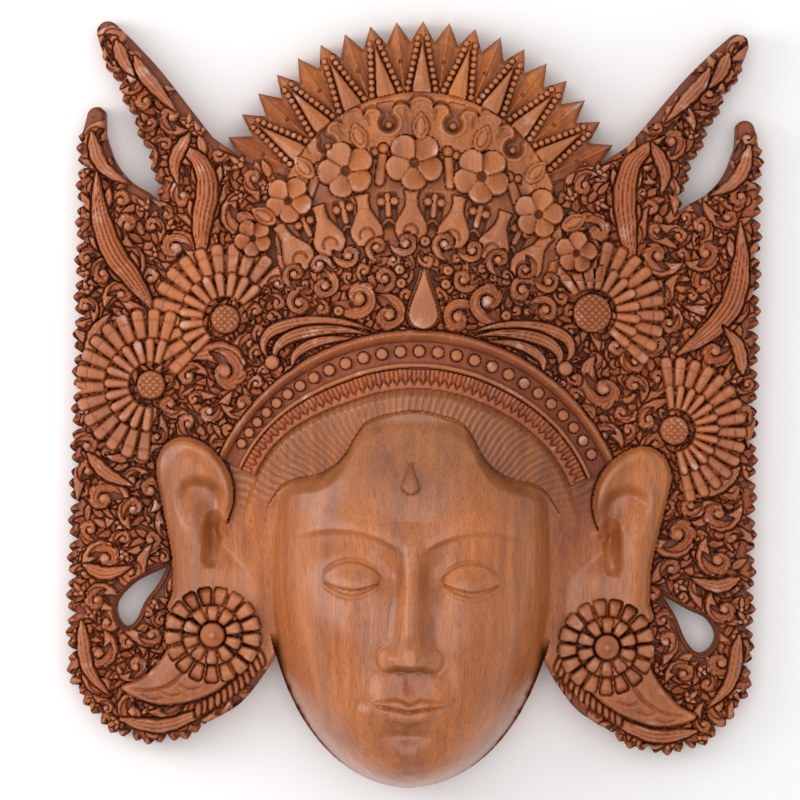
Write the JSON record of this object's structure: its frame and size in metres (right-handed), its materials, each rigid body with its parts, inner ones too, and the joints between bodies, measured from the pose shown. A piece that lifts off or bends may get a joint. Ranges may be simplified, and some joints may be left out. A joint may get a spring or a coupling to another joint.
{
  "type": "carved sita mask",
  "caption": "Carved wooden wall mask: calm face under a spiked crown, beaded diadem, foliage panels with horns, long ears with flower rosettes, hollow at the back.",
  "frame": {"origin": "centre of the back's bounding rectangle, on the flat back", "axes": "+Y up to the crown, +X to the right as seen from the front, +Z out of the face"},
  "size_m": [0.3618, 0.4, 0.108],
  "materials": {
    "carved_wood": "hand-carved hardwood, satin polish on the face and ears, darker stain in the recesses"
  },
  "bodies": {
    "root": {"mask": "carved_wood"}
  },
  "joints": []
}
